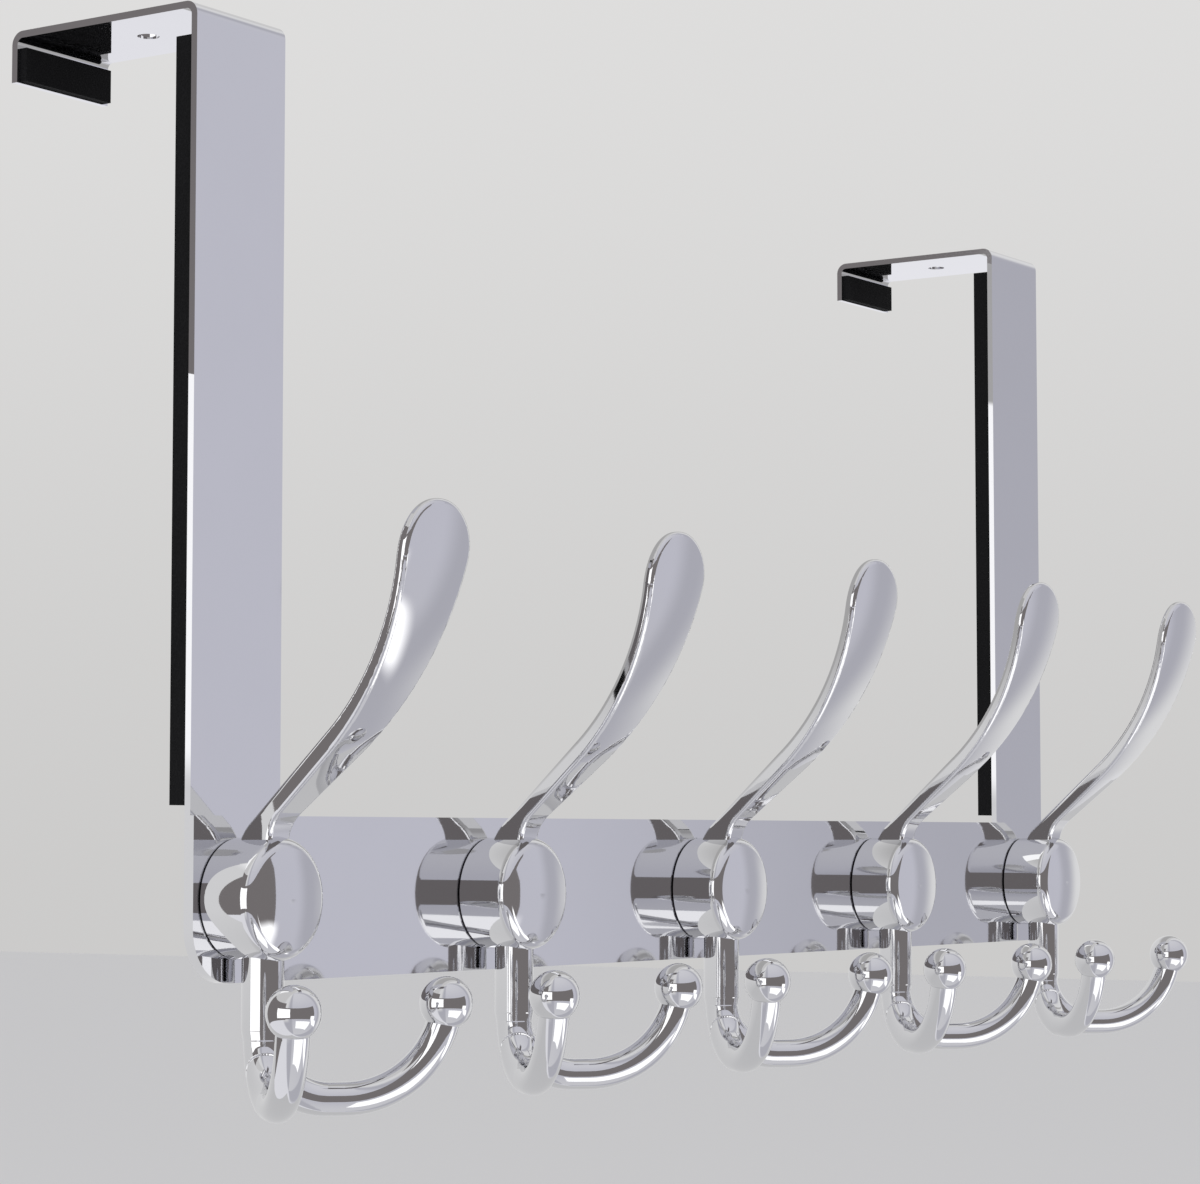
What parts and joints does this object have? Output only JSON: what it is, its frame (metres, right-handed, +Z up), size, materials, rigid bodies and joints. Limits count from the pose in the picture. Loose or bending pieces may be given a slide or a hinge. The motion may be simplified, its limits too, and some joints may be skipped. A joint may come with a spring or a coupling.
{
  "type": "over door hook",
  "caption": "Chrome coat rail hung over a top edge by two padded flat straps, with double-ball coat hooks in a row.",
  "frame": {"origin": "half way between the two screw holes in the top legs, on their underside, which rests on the top edge it hangs over", "axes": "+X along the rail to the right as seen from the front, +Y to the back, away from the hooks, +Z up"},
  "size_m": [0.4356, 0.1107, 0.2409],
  "materials": {
    "polished_steel": "polished chrome plate on sheet steel, clear reflections with a cool cast",
    "plated_hook": "mirror chrome plate on a cast hook",
    "black_foam": "matt black closed-cell foam strip with cut edges",
    "screw_steel": "plain zinc-plated screw steel"
  },
  "bodies": {
    "root": {"rail": "polished_steel", "bracket_left": "polished_steel", "bracket_right": "polished_steel", "leg_pad_left": "black_foam", "leg_pad_right": "black_foam", "lip_pad_left": "black_foam", "lip_pad_right": "black_foam", "hook_1": "plated_hook", "hook_2": "plated_hook", "hook_3": "plated_hook", "hook_4": "plated_hook", "hook_5": "plated_hook", "hook_screw_1": "screw_steel", "hook_screw_2": "screw_steel", "hook_screw_3": "screw_steel", "hook_screw_4": "screw_steel", "hook_screw_5": "screw_steel"}
  },
  "joints": []
}
